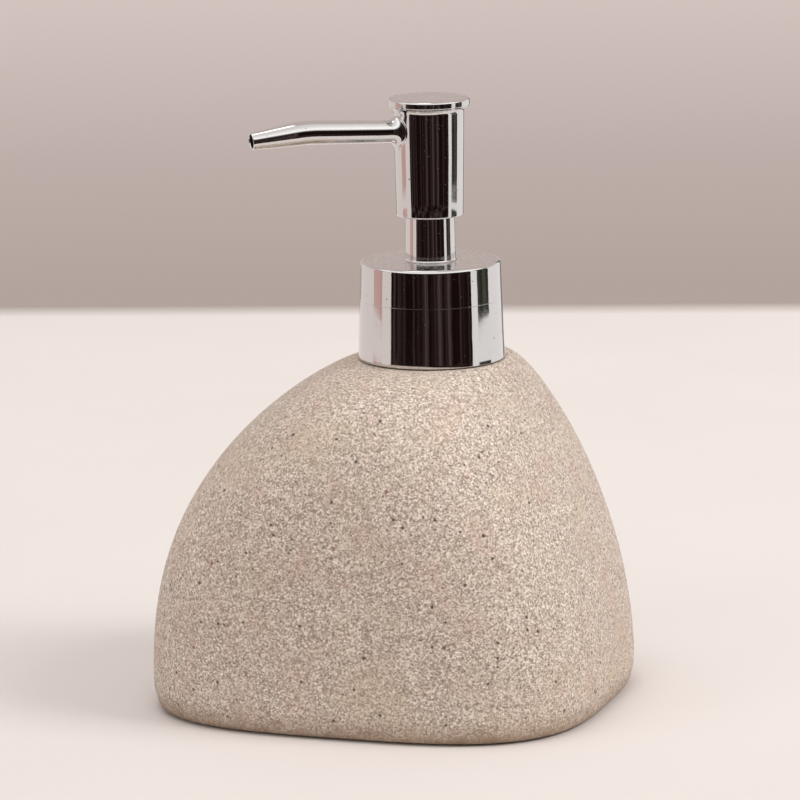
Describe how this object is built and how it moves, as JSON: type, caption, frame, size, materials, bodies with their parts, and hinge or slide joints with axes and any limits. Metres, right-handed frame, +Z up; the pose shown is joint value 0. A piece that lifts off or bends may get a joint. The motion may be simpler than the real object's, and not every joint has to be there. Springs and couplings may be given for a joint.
{
  "type": "soap pump dispenser",
  "caption": "Squat pebble-shaped stone-look soap bottle with a chromed screw-on lotion pump, its head swivelling and pressing down.",
  "frame": {"origin": "middle of the resting footprint, on the table", "axes": "+X along the bottle's long side, front towards -Y, +Z up"},
  "size_m": [0.1086, 0.096, 0.1437],
  "materials": {
    "stone_resin": "fine sand grain, satin",
    "plate_resin": "plain casting",
    "pad_foam": "matt foam",
    "neck_plastic": "moulded",
    "collar_chrome": "polished plating",
    "nut_plastic": "moulded",
    "gasket_foam": "soft foam",
    "natural_plastic": "translucent moulding",
    "cap_plastic": "moulded",
    "cage_plastic": "moulded",
    "ball_steel": "polished",
    "tube_plastic": "extruded",
    "spring_steel": "drawn wire",
    "stem_plastic": "moulded",
    "foot_plastic": "moulded",
    "piston_plastic": "soft moulding",
    "core_plastic": "moulded",
    "barrel_chrome": "polished plating",
    "cap_chrome": "satin top face",
    "spout_chrome": "polished plating"
  },
  "bodies": {
    "bottle": {"bottle_shell": "stone_resin", "base_plate": "plate_resin", "base_pad": "pad_foam", "neck_insert": "neck_plastic"},
    "pump": {"gasket": "gasket_foam", "pump_housing": "natural_plastic", "housing_cap": "cap_plastic", "ball_cage": "cage_plastic", "dip_tube": "tube_plastic", "return_spring": "spring_steel"},
    "closure": {"closure_shell": "collar_chrome", "closure_nut": "nut_plastic"},
    "valve_ball": {"inlet_ball": "ball_steel"},
    "plunger": {"stem_foot": "foot_plastic"},
    "seal": {"piston": "piston_plastic"},
    "head": {"stem": "stem_plastic", "head_core": "core_plastic", "head_barrel": "barrel_chrome", "head_cap": "cap_chrome", "spout": "spout_chrome"}
  },
  "joints": [
    {"name": "pump_lift", "type": "slide", "parent": "bottle", "child": "pump", "axis": [0, 0, 1], "range_m": [0, 0.11844]},
    {"name": "closure_turn", "type": "hinge", "parent": "pump", "child": "closure", "pos_m": [0.01, 0, 0.0939], "axis": [0, 0, 1], "range_deg": [0, 10080]},
    {"name": "pump_press", "type": "slide", "parent": "pump", "child": "plunger", "axis": [0, 0, -1], "range_m": [0, 0.01], "stiffness_N_per_m": 600, "springref_m": -0.008, "deforming": ["return_spring"]},
    {"name": "head_swivel", "type": "hinge", "parent": "plunger", "child": "head", "pos_m": [0.01, 0, 0.0873], "axis": [0, 0, 1], "continuous": true},
    {"name": "piston_play", "type": "slide", "parent": "plunger", "child": "seal", "axis": [0, 0, 1], "range_m": [0, 0.0008]},
    {"name": "ball_lift", "type": "slide", "parent": "pump", "child": "valve_ball", "axis": [0, 0, 1], "range_m": [0, 0.0012]}
  ],
  "couplings": [
    {"joint": "pump_lift", "follows": "closure_turn", "m_per_rad": 0.00067323}
  ]
}
